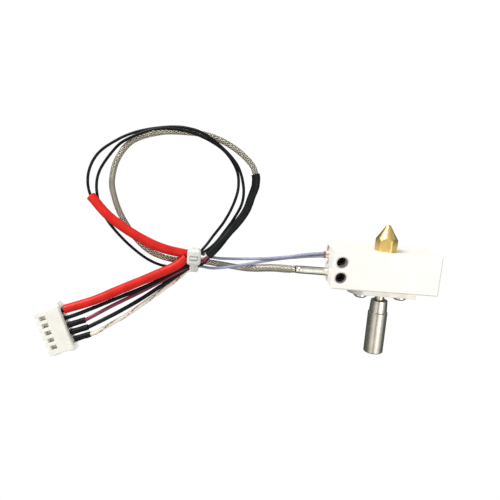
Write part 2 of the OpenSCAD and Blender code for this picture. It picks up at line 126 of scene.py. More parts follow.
class Material(Graph):
    """One procedural material. Noise scales are per metre, bump and bevel sizes in metres."""

    def __init__(self, name, metallic=0.0):
        self.material = bpy.data.materials.new(name)
        self.material.use_nodes = True
        super().__init__(self.material.node_tree)
        self.surface = self.tree.nodes["Principled BSDF"]
        self.set(self.surface, Metallic=metallic)
        self.place = self.add("TexCoord").outputs["Object"]

    def finish(self, **inputs):
        self.set(self.surface, **inputs)
        return self.material

    def along_around(self):
        """UV in millimetres: u along a wire, v around it."""
        return self.split(self.add("TexCoord").outputs["UV"])[:2]

    def noise(self, scale, detail=3.0, rough=0.55, vector=None):
        vector = self.place if vector is None else vector
        node = self.add("TexNoise", Vector=vector, Scale=scale, Detail=detail, Roughness=rough)
        return node.outputs["Fac"]

    def rings(self, xyz, along, across):
        """Lathe rings about Y: noise that changes fast along Y and slowly across it."""
        x, y, z = xyz
        stretched = self.join(self.math("MULTIPLY", x, across), self.math("MULTIPLY", y, along),
                              self.math("MULTIPLY", z, across))
        return self.noise(scale=1.0, detail=2.0, rough=0.7, vector=stretched)

    def painted_edge_shade(self, base, tint, amount, span=(0.30, 0.85), blend=0.42):
        """Painted shade: blend the parts that turn away from the viewer towards the given dark
        colour.
        """
        facing = self.add("LayerWeight", Blend=blend).outputs["Facing"]
        return self.mix(self.remap(facing, span=span, to=(0.0, amount)), base, tint)

    def weighted(self, a, weight_a, b, weight_b):
        return self.math("ADD", self.math("MULTIPLY", a, weight_a),
                         self.math("MULTIPLY", b, weight_b))

    def bump(self, height, strength, distance, bevel=None):
        node = self.add("Bump", Strength=strength, Distance=distance, Height=height)
        if bevel:
            rounded = self.add("Bevel", {"samples": 6}, Radius=bevel)
            self.set(node, Normal=rounded.outputs[0])
        return node.outputs[0]


# ------------------------------------------------------------------ metals
def blasted_aluminium():
    m = Material("bead_blasted_aluminium", metallic=0.12)
    grain = m.noise(scale=7000, detail=2, rough=0.6)
    mottle = m.noise(scale=1500, rough=0.5)
    cloud = m.noise(scale=160, detail=2, rough=0.5)
    colour = m.two_tone(cloud, dark=(0.905, 0.885, 0.845), light=(0.945, 0.93, 0.895))
    pits = m.remap(grain, span=(0.35, 0.7), to=(0.0, 0.12))
    height = m.weighted(grain, 0.7, mottle, 0.3)
    return m.finish(Base_Color=m.mix(pits, colour, (0.74, 0.72, 0.68)),
                    Roughness=m.remap(mottle, to=(0.30, 0.42)), Specular_IOR_Level=0.35,
                    Normal=m.bump(height, strength=0.30, distance=0.00004, bevel=0.00026))


def satin_aluminium():
    """Sheet with a fine grain drawn out along X."""
    m = Material("satin_aluminium_sheet", metallic=0.55)
    stretched = m.add("Mapping", Vector=m.place, Scale=(300.0, 9000.0, 9000.0)).outputs[0]
    streaks = m.noise(scale=1.0, rough=0.6, vector=stretched)
    cloud = m.noise(scale=300, rough=0.5)
    return m.finish(Base_Color=m.two_tone(cloud, dark=(0.62, 0.59, 0.53),
                                          light=(0.73, 0.70, 0.64)),
                    Roughness=m.remap(streaks, to=(0.30, 0.46)),
                    Normal=m.bump(streaks, strength=0.2, distance=0.00003, bevel=0.00015))


def turned_steel():
    """Stainless with fine rings across Y, a straw tint from y = 15 mm, painted shade on its
    turned-away sides and painted dark shade on its end faces.
    """
    m = Material("turned_stainless", metallic=1.0)
    xyz = m.split(m.place)
    y = xyz[1]
    fine = m.rings(xyz, along=9000.0, across=60.0)
    wide = m.noise(scale=1.0, detail=2, rough=0.5,
                   vector=m.join(0.0, m.math("MULTIPLY", y, 700.0)))
    blotches = m.noise(scale=420, rough=0.6)
    base = m.two_tone(blotches, dark=(0.68, 0.63, 0.55), light=(0.80, 0.76, 0.68))
    base = m.mix(m.remap(y, span=(0.0150, 0.0200), to=(0.0, 0.45)), base, (0.72, 0.60, 0.44))
    # painted shade: the sides that turn away from the viewer go grey-green
    base = m.painted_edge_shade(base, tint=(0.36, 0.37, 0.32), amount=0.62)
    # painted shade: faces across Y (end faces and shoulders) go near black
    normal_y = m.split(m.add("NewGeometry").outputs["True Normal"])[1]
    end_face_shade = m.remap(m.math("ABSOLUTE", normal_y), span=(0.55, 0.85), to=(0.0, 0.9))
    base = m.mix(end_face_shade, base, (0.07, 0.065, 0.05))
    height = m.weighted(fine, 0.5, wide, 0.5)
    return m.finish(Base_Color=base, Roughness=m.remap(fine, to=(0.20, 0.30)), Anisotropic=0.2,
                    Normal=m.bump(height, strength=0.10, distance=0.00003, bevel=0.00014))


def steel(name, dark, light, rough, edge=0.0):
    """Plain metal; edge is how far the turned-away parts go to a painted olive shade."""
    m = Material(name, metallic=1.0)
    grain = m.noise(scale=2500, rough=0.6)
    colour = m.two_tone(m.noise(scale=500, rough=0.5), dark, light)
    # painted shade on the turned-away parts
    if edge:
        colour = m.painted_edge_shade(colour, tint=(0.20, 0.20, 0.15), amount=edge)
    return m.finish(Base_Color=colour, Roughness=m.remap(grain, to=rough),
                    Normal=m.bump(grain, strength=0.12, distance=0.00003, bevel=0.0001))


def brass():
    """Blotched brass with faint lathe rings, dark spots and painted olive shade on the
    turned-away edges.
    """
    m = Material("nozzle_brass", metallic=1.0)
    rings = m.rings(m.split(m.place), along=8000.0, across=80.0)
    blotches = m.noise(scale=650, detail=4, rough=0.6)
    spots = m.noise(scale=2600, detail=2, rough=0.5)
    base = m.ramp(blotches, (0.25, (0.80, 0.56, 0.17)), (0.55, (0.92, 0.68, 0.25)),
                  (0.8, (0.97, 0.76, 0.34)))
    base = m.mix(m.remap(spots, span=(0.62, 0.75), to=(0.0, 0.25)), base, (0.46, 0.32, 0.12))
    # painted shade: turned-away parts go dark olive
    base = m.painted_edge_shade(base, tint=(0.22, 0.16, 0.05), amount=0.85, span=(0.28, 0.80))
    return m.finish(Base_Color=base, Roughness=m.remap(rings, to=(0.34, 0.42)),
                    Normal=m.bump(rings, strength=0.03, distance=0.00003, bevel=0.00018))


def braid_metal():
    """Tinned strands along each flat carrier, with painted shade in the creases between strands,
    along each carrier's rims and where it dives under. Here u is 1 where it lies on top, v runs
    across.
    """
    m = Material("tinned_braid", metallic=0.75)
    on_top, across = m.along_around()
    strands = m.math("SINE", m.math("MULTIPLY", across, 6.2832 * 3.0))
    base = m.ramp(m.noise(scale=900, rough=0.6), (0.25, (0.74, 0.69, 0.54)),
                  (0.6, (0.94, 0.91, 0.80)), (0.85, (0.98, 0.97, 0.92)))
    # painted shade in the creases between strands
    strand_crease_shade = m.remap(strands, span=(-1.0, -0.3), to=(0.40, 0.0))
    base = m.mix(strand_crease_shade, base, (0.20, 0.16, 0.10))
    # painted shade along both rims of each carrier
    rim = m.math("ABSOLUTE", m.math("SUBTRACT", across, 0.5))
    base = m.mix(m.remap(rim, span=(0.30, 0.48), to=(0.0, 0.85)), base, (0.10, 0.08, 0.05))
    # painted shade where a carrier dives under the carriers wound the other way
    under = m.remap(on_top, span=(0.10, 0.55), to=(0.80, 0.0))
    base = m.mix(under, base, (0.16, 0.13, 0.08))
    return m.finish(Base_Color=base, Roughness=0.34,
                    Normal=m.bump(strands, strength=0.4, distance=0.00003))


# ------------------------------------------------------------------ insulation and plastics
def rubbery(name, dark, light, rough=(0.34, 0.5), grain=1800.0, bump=0.18, scatter=0.0,
            scatter_radius=None, dust=0.0, specular=0.5, edge=0.0):
    """Soft plastic; dust adds grey specks, edge paints shade on the turned-away parts."""
    m = Material(name)
    coarse = m.noise(scale=grain, rough=0.6)
    cloud = m.noise(scale=260, rough=0.5)
    fine = m.noise(scale=5200, detail=2, rough=0.6)
    colour = m.two_tone(cloud, dark, light)
    if dust:
        specks = m.remap(fine, span=(0.62, 0.78), to=(0.0, dust))
        colour = m.mix(specks, colour, (0.5, 0.5, 0.5))
    # painted shade: the turned-away parts go darker
    if edge:
        shade = tuple(channel * 0.45 for channel in dark)
        colour = m.painted_edge_shade(colour, tint=shade, amount=edge, span=(0.30, 0.90), blend=0.40)
    if scatter:
        m.finish(Subsurface_Weight=scatter, Subsurface_Radius=scatter_radius,
                 Subsurface_Scale=0.0008)
    height = m.weighted(coarse, 0.7, fine, 0.3)
    return m.finish(Base_Color=colour, Roughness=m.remap(coarse, to=rough),
                    Specular_IOR_Level=specular,
                    Normal=m.bump(height, strength=bump, distance=0.00004))


def lead_skin():
    """Varnished braid of the heater leads: fine crossed diagonal ribs, with painted shade between
    the ribs and on the turned-away sides.
    """
    m = Material("heater_lead_braid")
    along, around = m.along_around()
    rib_frequency = 15.7     # radians per millimetre
    ribs = [m.math("SINE", m.math("MULTIPLY", m.math(way, along, around), rib_frequency))
            for way in ("ADD", "SUBTRACT")]
    weave = m.math("MAXIMUM", *ribs)
    blotches = m.noise(scale=420, rough=0.6)
    # the tone is lighter on the ribs and darker between them, painted shade in the grooves, mixed
    # with random blotches
    tone = m.math("ADD", m.remap(weave, span=(-1.0, 1.0), to=(0.0, 0.5)),
                  m.math("MULTIPLY", blotches, 0.5))
    colour = m.ramp(tone, (0.15, (0.10, 0.11, 0.19)), (0.5, (0.26, 0.28, 0.42)),
                    (0.9, (0.44, 0.46, 0.62)))
    # painted shade: the turned-away sides go dark blue
    colour = m.painted_edge_shade(colour, tint=(0.05, 0.055, 0.11), amount=0.75, span=(0.35, 0.9),
                         blend=0.45)
    return m.finish(Base_Color=colour, Roughness=m.remap(blotches, to=(0.32, 0.5)),
                    Normal=m.bump(weave, strength=0.4, distance=0.00005))


def tracer_white():
    """Creamy insulation with short, broken dark-red dashes that wind round it."""
    m = Material("white_insulation_red_tracer")
    along, around = m.along_around()
    cloud = m.noise(scale=300, rough=0.5)
    grain = m.noise(scale=1800, rough=0.6)
    colour = m.two_tone(cloud, dark=(0.80, 0.74, 0.62), light=(0.90, 0.86, 0.76))
    phase = m.math("FRACT", m.weighted(along, 0.10, around, 0.55))
    dash = m.math("LESS_THAN", phase, 0.22)
    patchy = m.noise(scale=1.0, detail=2, rough=0.6,
                     vector=m.join(m.math("MULTIPLY", along, 1.1),
                                   m.math("MULTIPLY", around, 0.9)))
    dash = m.math("MULTIPLY", dash, m.math("GREATER_THAN", patchy, 0.47))
    colour = m.mix(m.math("MULTIPLY", dash, 0.95), colour, (0.24, 0.012, 0.03))
    return m.finish(Base_Color=colour, Roughness=m.remap(grain, to=(0.34, 0.48)),
                    Subsurface_Weight=0.10, Subsurface_Scale=0.0004,
                    Normal=m.bump(grain, strength=0.15, distance=0.00003))


def nylon(name, dark, light, transmission=0.0, scatter=0.25, rough=(0.30, 0.42), bevel=0.0002):
    m = Material(name)
    grain = m.noise(scale=2600)
    cloud = m.noise(scale=330, rough=0.5)
    return m.finish(Base_Color=m.two_tone(cloud, dark, light),
                    Roughness=m.remap(grain, to=rough), Subsurface_Weight=scatter,
                    Subsurface_Radius=(1.0, 0.95, 0.85), Subsurface_Scale=0.0009,
                    Transmission_Weight=transmission, IOR=1.53,
                    Normal=m.bump(grain, strength=0.12, distance=0.00004, bevel=bevel))


def cement():
    """Pale cement in the sheath, browned at its -X end where the leads come out."""
    m = Material("seal_cement")
    x = m.split(m.place)[0]
    grain = m.noise(scale=3500, detail=4, rough=0.7)
    cloud = m.noise(scale=900, rough=0.6)
    pale = m.two_tone(cloud, dark=(0.66, 0.54, 0.48), light=(0.86, 0.78, 0.73))
    brown = m.two_tone(cloud, dark=(0.10, 0.06, 0.04), light=(0.36, 0.25, 0.18))
    depth = m.remap(x, span=(-0.01712, -0.01680))
    return m.finish(Base_Color=m.mix(depth, brown, pale), Roughness=0.6,
                    Normal=m.bump(grain, strength=0.5, distance=0.00007))


def floor_material():
    """White to the camera, a soft sheet of light to bounced rays, shaded in reflections."""
    m = Material("studio_floor")
    y = m.split(m.place)[1]
    cloud = m.noise(scale=14, detail=2, rough=0.5)
    side = m.remap(y, span=(0.0, 0.075))
    unevenness = m.math("MULTIPLY", m.math("SUBTRACT", cloud, 0.5), 0.10)
    reflected = m.ramp(m.math("ADD", side, unevenness), (0.22, (0.10, 0.11, 0.10)),
                       (0.50, (0.90, 0.90, 0.88)))
    rays = m.add("LightPath").outputs
    colour = m.mix(rays["Is Glossy Ray"], (1.25, 1.24, 1.21), reflected)
    colour = m.mix(rays["Is Camera Ray"], colour, (1.02, 1.02, 1.02))
    glow = m.add("Emission", Strength=1.0, Color=colour)
    m.set(m.tree.nodes["Material Output"], Surface=glow.outputs[0])
    return m.material


FINISH = {
    "block": blasted_aluminium(),
    "plate": satin_aluminium(),
    "turned": turned_steel(),
    "sheath": steel("sheath_steel", dark=(0.74, 0.71, 0.62), light=(0.90, 0.88, 0.80),
                    rough=(0.16, 0.26), edge=0.85),
    "screw": steel("screw_steel", dark=(0.66, 0.66, 0.64), light=(0.84, 0.84, 0.82),
                   rough=(0.20, 0.32), edge=0.5),
    "grub": steel("grub_black_oxide", dark=(0.020, 0.020, 0.022), light=(0.055, 0.055, 0.058),
                  rough=(0.35, 0.5)),
    "brass": brass(),
    "ceramic": nylon("ceramic_core", dark=(0.72, 0.69, 0.62), light=(0.84, 0.82, 0.76),
                     rough=(0.6, 0.8)),
    "cement": cement(),
    "bead": steel("sensor_bead_metal", dark=(0.55, 0.42, 0.20), light=(0.74, 0.62, 0.36),
                  rough=(0.3, 0.45)),
    "lead": lead_skin(),
    "braid": braid_metal(),
    "core": rubbery("braid_core", dark=(0.030, 0.026, 0.020), light=(0.06, 0.052, 0.04),
                    rough=(0.5, 0.7)),
    "black_shrink": rubbery("black_heat_shrink", dark=(0.003, 0.004, 0.004),
                            light=(0.007, 0.009, 0.010), rough=(0.32, 0.48), bump=0.22,
                            dust=0.02, specular=0.17),
    "red": rubbery("red_heat_shrink", dark=(0.57, 0.012, 0.009), light=(0.70, 0.020, 0.013),
                   rough=(0.30, 0.44), grain=1300.0, bump=0.22, scatter=0.05,
                   scatter_radius=(1.0, 0.15, 0.1), specular=0.2, edge=0.75),
    "black": rubbery("black_insulation", dark=(0.003, 0.004, 0.005),
                     light=(0.007, 0.008, 0.010), rough=(0.28, 0.42), bump=0.10, dust=0.02,
                     specular=0.17),
    "maroon": rubbery("maroon_insulation", dark=(0.16, 0.012, 0.045),
                      light=(0.28, 0.022, 0.08), rough=(0.28, 0.42), bump=0.12),
    "white": tracer_white(),
    "tie": nylon("tie_nylon", dark=(0.80, 0.80, 0.78), light=(0.90, 0.90, 0.88),
                 transmission=0.22, scatter=0.3, bevel=0.00025),
    "plug": nylon("plug_nylon", dark=(0.87, 0.865, 0.80), light=(0.94, 0.94, 0.88),
                  scatter=0.22, bevel=0.00018),
    "contact": steel("tinned_contact", dark=(0.58, 0.57, 0.53), light=(0.78, 0.77, 0.73),
                     rough=(0.22, 0.36)),
    "ferrule": steel("crimp_ferrule", dark=(0.55, 0.54, 0.50), light=(0.72, 0.71, 0.67),
                     rough=(0.25, 0.4)),
    "floor": floor_material(),
}

# ------------------------------------------------------------------ curves through knots
KNOT_STEPS = 24      # spline points from one knot to the next


def spline(knots):
    """Catmull-Rom curve through the knots."""
    P = [np.array(p, float) for p in knots]
    P = [2 * P[0] - P[1]] + P + [2 * P[-1] - P[-2]]
    curve = []
    for a, b, c, d in zip(P, P[1:], P[2:], P[3:]):
        for k in range(KNOT_STEPS):
            u = k / KNOT_STEPS
            curve.append(0.5 * (2 * b + (c - a) * u + (2 * a - 5 * b + 4 * c - d) * u * u
                                + (3 * b - a - 3 * c + d) * u ** 3))
    curve.append(P[-2])
    return np.array(curve)


def point_at(knots, t):
    """The point at knot number t, which may fall between knots."""
    curve = spline(knots)
    x = min(max(t * KNOT_STEPS, 0), len(curve) - 1)
    i = int(min(math.floor(x), len(curve) - 2))
    return curve[i] + (curve[i + 1] - curve[i]) * (x - i)


def resample(curve, step):
    """Evenly spaced points on the curve, and their distances along it."""
    lengths = np.linalg.norm(np.diff(curve, axis=0), axis=1)
    distance = np.concatenate([[0], np.cumsum(lengths)])
    count = max(2, int(round(distance[-1] / step)))
    stations = np.linspace(0, distance[-1], count + 1)
    points = np.stack([np.interp(stations, distance, curve[:, k]) for k in range(3)], 1)
    return points, stations


def frames(curve):
    """Tangent, level sideways and upward directions at each point."""
    tangent = np.gradient(curve, axis=0)
    tangent /= np.linalg.norm(tangent, axis=1)[:, None]
    side = np.cross(np.array([0, 0, 1.0]), tangent)
    side /= np.linalg.norm(side, axis=1)[:, None]
    return tangent, side, np.cross(tangent, side)


def beside(knots, sideways, upwards):
    """The knots moved off their own route."""
    _, side, up = frames(spline(knots))
    return [np.array(p) + sideways * side[i * KNOT_STEPS] + upwards * up[i * KNOT_STEPS]
            for i, p in enumerate(knots)]


# ------------------------------------------------------------------ routes, as x, y, z knots
LOW = FLOOR_Z + 0.75                     # height of the runs that lie near the floor
HEATER_Y, HEATER_Z = 28.40, -7.0         # axis of the heater bore
SENSOR_Y, SENSOR_Z = 23.70, -3.5         # axis of the sensor bore

RED_UPPER = [[-61.8, 24.9, -8.6], [-69.8, 26.75, -7.0], [-77.9, 30.45, -6.45],
             [-85.7, 35.3, -6.8], [-91.9, 40.85, -8.9]]
CABLE = [
    [-28.9, 23.4, -4.4], [-34, 22.85, -6.7], [-42, 21.5, -9.6], [-50.5, 22.1, -10.1],
    [-56.2, 22.7, -9.6], [-60.4, 22.8, -9.6], [-65.4, 22.4, -10.1], [-72.2, 24.2, -10.1],
    [-77.6, 28.4, -10.1], [-82.5, 35.3, -10.1], [-85.2, 42, -10.1], [-85.8, 47, -10.1],
    [-84.2, 53.4, -10.1], [-79.8, 59, -10.1], [-72.2, 62, -10.1], [-64.8, 62.8, -10.1],
    [-56.3, 62.3, -10.1], [-48.7, 59.4, -10.1], [-42.7, 54.75, -9.9], [-40.85, 50.5, -9.7],
    [-40.85, 47.9, -9.7]]
SHIELDED_CABLE = [[-26.3, SENSOR_Y, SENSOR_Z]] + CABLE
BREAKOUT = [
    point_at(CABLE, 18.7), CABLE[19], CABLE[20], [-41.65, 44.8, -9.6], [-43.15, 40.2, -9.2],
    [-45.8, 35.75, -8.8], [-48.75, 31.85, -8.5], [-51.35, 28.2, -8.0], [-53.95, 25.0, -7.7]]
LOOP_OUTER = RED_UPPER[1:] + [
    [-93.5, 47.4, LOW], [-90.75, 54.0, LOW], [-84.55, 59.0, LOW], [-77.85, 62.1, LOW],
    [-69.5, 63.95, LOW], [-63.1, 64.1, -9.3], [-57.4, 62.55, -8.0], [-51.75, 58.85, -8.0],
    [-46.85, 53.85, -9.0], [-44.6, 47.6, LOW], [-44.6, 42.3, LOW], [-46.75, 37.2, LOW],
    [-49.55, 32.6, LOW], [-52.2, 28.8, -9.7], [-55.1, 26.2, -8.8], [-57.8, 24.9, -7.75],
    [-61.0, 24.9, -7.8]]
LOOP_INNER = [
    [-64.5, 19.9, -10.4], [-69.7, 20.2, LOW], [-75.5, 22.8, LOW], [-82.6, 28.45, LOW],
    [-88.15, 35.05, LOW], [-90.6, 42, LOW], [-90.2, 48.2, LOW], [-86.7, 54.3, LOW + 0.3],
    [-82.0, 58.9, -9.1], [-73.0, 62.9, -8.0], [-64.8, 63.3, -7.9], [-57.75, 61.6, -8.4],
    [-51.4, 58.1, -9.7], [-47.3, 52.9, -10.3], [-46.15, 47.6, -10.4], [-47.2, 42.0, -10.4],
    [-49.7, 36.2, -10.4], [-53.1, 30.9, -10.3], [-55.3, 27.6, -9.4], [-57.5, 25.3, -8.85],
    [-60.2, 25.3, -8.8]]
# each heater lead starts in the end seal of the heater
LEAD_UPPER = [
    [-16.6, HEATER_Y + 0.5, HEATER_Z], [-20, 28.5, -6.85], [-23.5, 27.95, -6.8],
    [-26, 27.4, -6.85], [-29.0, 26.7, -7.0], [-36, 25.5, -7.8], [-44, 24.35, -9.7],
    [-51.5, 23.85, LOW + 0.1], [-56.2, 24.9, -10.1], [-60.0, 25.2, -9.9],
    point_at(RED_UPPER, 0.18) + [0, 0, -0.2], point_at(RED_UPPER, 0.4),
    point_at(RED_UPPER, 0.65)]
LEAD_LOWER = [
    [-16.6, HEATER_Y - 0.5, HEATER_Z], [-20, 27.6, -7.15], [-23.5, 27.1, -7.5],
    [-26, 26.65, -7.7], [-29.0, 26.15, -7.9], [-36, 24.6, -8.1], [-41, 23.3, -7.9],
    [-47.5, 21.8, -7.8], [-52.5, 20.8, -8.8], [-56.2, 20.85, -9.8], [-60.4, 20.85, -10.1],
    [-62.2, 20.3, -10.3], [-64.4, 19.9, -10.4]]


def sensor_route(sideways, upwards, middle_z, end_y, end_z):
    """A wire that leaves the breakout sleeve off its centre and passes through the tie."""
    return beside(BREAKOUT, sideways, upwards)[6:9] + [
        [-55.7, (24.2 + 3 * end_y) / 4, middle_z], [-57.5, end_y, end_z], [-61.0, end_y, end_z]]


PLUG_AT = np.array([-102.0, -3.4, FLOOR_Z])
PLUG_TURN = math.radians(201.9)
MATE = np.array([math.cos(PLUG_TURN), math.sin(PLUG_TURN), 0])      # way the plug points
ROW = np.array([-math.sin(PLUG_TURN), math.cos(PLUG_TURN), 0])      # way its pins are counted
PIN_PITCH = 2.54
PIN_Z = 5.75 / 2
WIRE_END = -2.5


def pin(number, back, shift=(0, 0, 0)):
    """A point on a pin's axis, this far back from the plug's wire side."""
    return (PLUG_AT - MATE * (4.2 + back) + ROW * PIN_PITCH * (number - 3)
            + np.array([0, 0, PIN_Z]) + shift)


RED_LOWER_RUN = [[-71, 17.2, -7.2], [-81.6, 11.4, -9.2], [-90.3, 6.9, -9.4]]
RED_LOWER = [[-60.9, 23.9, -6.9], [-64, 21.2, -6.5], *RED_LOWER_RUN,
             pin(1, 0.8, [0, 0, -0.2] - ROW * 0.3)]
# pin number: (finish, slot, radius, knots up to the pin, distances back along the pin's axis)
PLUG_WIRES = {
    1: ("black", "black_pvc", 0.60,
        [[-60.9, 23.9, -6.9], [-63.8, 21.3, -6.5], *RED_LOWER_RUN], (3, WIRE_END)),
    2: ("black", "black_pvc", 0.65,
        [[-59.6, 21.4, -8.4], [-61.3, 20.6, -8.1], [-63.8, 19.3, -7.9], [-71.8, 13.9, -9.4],
         [-82.4, 8.2, -10.5], [-90.7, 4.0, LOW + 0.35]], (3, WIRE_END)),
    3: ("maroon", "maroon_pvc", 0.62,
        [[-59.6, 21.2, -9.6], [-61.3, 19.9, -9.2], [-63.8, 18.4, -8.95],
         [-68.8, 14.95, -9.95], [-75.4, 10.6, LOW], [-84.6, 5.1, LOW],
         pin(3, 8, (0, 0.4, 0))], (5.9, 3, WIRE_END)),
    4: ("black", "black_pvc", 0.67,
        [[-59.6, 20.6, -9.9], [-61.3, 19.2, -9.9], [-63.8, 17.2, -9.95],
         [-68.9, 13.15, -10.4], [-74.9, 8.4, LOW], [-82.6, 3.1, LOW + 0.1],
         pin(4, 8, (0, 0.3, 0))], (5.9, 3, WIRE_END)),
    5: ("white", "white_pvc", 0.67,
        [[-59.6, 19.9, -10.6], [-61.3, 18.4, -10.7], [-63.8, 15.75, -10.75],
         [-70.6, 9.85, LOW], [-78.6, 3.2, LOW], [-84.2, -0.8, LOW + 0.05]],
        (8, 5.9, 3, WIRE_END)),
}


# ------------------------------------------------------------------ mesh helpers
def add_object(name, data):
    piece = bpy.data.objects.new(name, data)
    bpy.context.collection.objects.link(piece)
    return piece


def make_mesh(name, points, faces, uvs, finish):
    """Smooth mesh from points in mm; uvs holds one (u, v) per face corner, or is None."""
    mesh = bpy.data.meshes.new(name)
    mesh.from_pydata((np.asarray(points) * MM).tolist(), [], faces)
    mesh.update()
    if uvs is not None:
        layer = mesh.uv_layers.new(name="mm")
        layer.data.foreach_set("uv", np.asarray(uvs, float).ravel())
    mesh.polygons.foreach_set("use_smooth", [True] * len(mesh.polygons))
    piece = add_object(name, mesh)
    mesh.materials.append(FINISH[finish])
    return piece


def fix_normals(piece):
    bm = bmesh.new()
    bm.from_mesh(piece.data)
    bmesh.ops.recalc_face_normals(bm, faces=bm.faces)
    bm.to_mesh(piece.data)
    bm.free()
    piece.data.update()
    return piece


def quad_band(first, second, sides):
    """Quads between two closed rings that start at these point numbers."""
    return [(first + k, first + (k + 1) % sides, second + (k + 1) % sides, second + k)
            for k in range(sides)]


def lay_rings(knots, radius, shape, sides, step):
    """Stations along a route, their radii, and a function that draws a ring at one of them.

    shape(along, angle, length) multiplies the radius.
    """
    centres, stations = resample(spline(knots), step)
    tangent, side, up = frames(centres)
    angles = np.arange(sides) * 2 * math.pi / sides
    radii = np.array([[radius * shape(s, a, stations[-1]) for a in angles] for s in stations])
    cosines, sines = np.cos(angles)[:, None], np.sin(angles)[:, None]

    def ring(i, ring_radii, shift):
        outward = cosines * side[i] + sines * up[i]
        return centres[i] + tangent[i] * shift + ring_radii[:, None] * outward

    return centres, stations, radii, ring


def sweep(name, knots, radius, finish, shape, sides=16, step=0.35, soft_ends=True):
    """Closed round wire along the knots."""
    centres, stations, radii, ring = lay_rings(knots, radius, shape, sides, step)
    last = len(stations) - 1
    # rows are (station, part of the radius, shift along the route in radii)
    if soft_ends:
        rows = [(0, 0.80, 0), (0, 0.95, 0.10)]
        rows += [(i, 1, 0) for i in range(1, last)]
        rows += [(last, 0.95, -0.10), (last, 0.80, 0)]
    else:
        rows = [(i, 1, 0) for i in range(last + 1)]
    rings = [ring(i, radii[i] * part, radius * shift) for i, part, shift in rows]
    along = [stations[row[0]] for row in rows]
    points = np.vstack(rings + [centres[:1], centres[-1:]])
    around = [k / sides * (2 * math.pi * radius) for k in range(sides + 1)]
    faces, uvs = [], []
    for i in range(len(rings) - 1):
        a, b = i * sides, (i + 1) * sides
        for k in range(sides):
            k2 = (k + 1) % sides
            faces.append((a + k2, b + k2, b + k, a + k))
            uvs += [(along[i], around[k + 1]), (along[i + 1], around[k + 1]),
                    (along[i + 1], around[k]), (along[i], around[k])]
    end = (len(rings) - 1) * sides
    start_centre = len(rings) * sides
    for k in range(sides):
        k2 = (k + 1) % sides
        faces.append((k, k2, start_centre))
        uvs += [(0, 0)] * 3
        faces.append((end + k2, end + k, start_centre + 1))
        uvs += [(stations[-1], 0)] * 3
    return fix_normals(make_mesh(name, points, faces, uvs, finish))


# rounding of a sleeve's rim: (part of the lip outwards, part of the wall in from the outside)
RIM = ((0.6, 0.72), (1.0, 0.45), (0.6, 0.14))


def tube(name, knots, radius, wall, finish, shape, sides, step, lip=0.10):
    """Open-ended sleeve with a real wall and softened rims."""
    _, stations, radii, ring = lay_rings(knots, radius, shape, sides, step)
    last = len(stations) - 1
    # rows are (station, depth in from the outside, shift along the route):
    # back along the inside, round the start rim, out along the outside, round the end rim
    rows = [(i, wall, 0) for i in range(last, -1, -1)]
    rows += [(0, wall * depth, -lip * out) for out, depth in RIM]
    rows += [(i, 0, 0) for i in range(last + 1)]
    rows += [(last, wall * depth, lip * out) for out, depth in reversed(RIM)]
    rings = [ring(i, radii[i] - depth, shift) for i, depth, shift in rows]
    along = [stations[row[0]] for row in rows]
    around = [k / sides * (2 * math.pi * radius) for k in range(sides + 1)]
    faces, uvs = [], []
    for i in range(len(rings)):
        j = (i + 1) % len(rings)
        faces += quad_band(i * sides, j * sides, sides)
        for k in range(sides):
            uvs += [(along[i], around[k]), (along[i], around[k + 1]),
                    (along[j], around[k + 1]), (along[j], around[k])]
    return fix_normals(make_mesh(name, np.vstack(rings), faces, uvs, finish))


def loft(name, rings, finish, closed=False):
    """Skin over equal-length rings of points, joined end to end or capped."""
    count, size = len(rings), len(rings[0])
    faces = []
    for i in range(count if closed else count - 1):
        faces += quad_band(i * size, (i + 1) % count * size, size)
    if not closed:
        faces.append(tuple(range(size))[::-1])
        faces.append(tuple((count - 1) * size + k for k in range(size)))
    return fix_normals(make_mesh(name, np.vstack(rings), faces, None, finish))


def stand_in(piece, slot, *nodes):
    """Show the piece in place of these CAD nodes."""
    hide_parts(*nodes)


def uneven(seed, amount, pitch=0.45):
    """Gentle unevenness of extruded or shrunk plastic, the same every run."""
    def shape(along, angle, length):
        place = (along * pitch, math.cos(angle) * 1.2 + seed * 7.3, math.sin(angle) * 1.2)
        return 1.0 + amount * mnoise.noise(Vector(place))
    return shape


# ------------------------------------------------------------------ heater leads
for level, knots, seed in (("upper", LEAD_UPPER, 22), ("lower", LEAD_LOWER, 25)):
    piece = sweep(f"heater_lead_{level}_skin", knots, 0.445, "lead",
                  uneven(seed, amount=0.10, pitch=0.35))
    stand_in(piece, "lead_insulation", f"heater_tail_{level}", f"heater_lead_{level}")
    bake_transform(piece)

# ------------------------------------------------------------------ braided sensor cable
CARRIERS = 8                    # carriers wound each way
LAY = 9.6                       # length of one turn
WEAVE = 0.065                   # how far a carrier rises and dips
HALF_WIDTH, THICKNESS = 0.168, 0.05
LOOSE_RADIUS, TIGHT_RADIUS = 1.15, 0.86
TIGHTEN_AT, TIGHTEN_OVER = 11.5, 9.0       # where the braid closes up, along the cable
# section of a carrier: across, outwards; and the v coordinate of each of its points
CARRIER_SECTION = [(-HALF_WIDTH, 0.0), (-HALF_WIDTH * 0.55, THICKNESS),
                   (HALF_WIDTH * 0.55, THICKNESS), (HALF_WIDTH, 0.0), (0.0, -THICKNESS)]
CARRIER_V = (0.0, 1 / 3, 2 / 3, 1.0, 0.5)


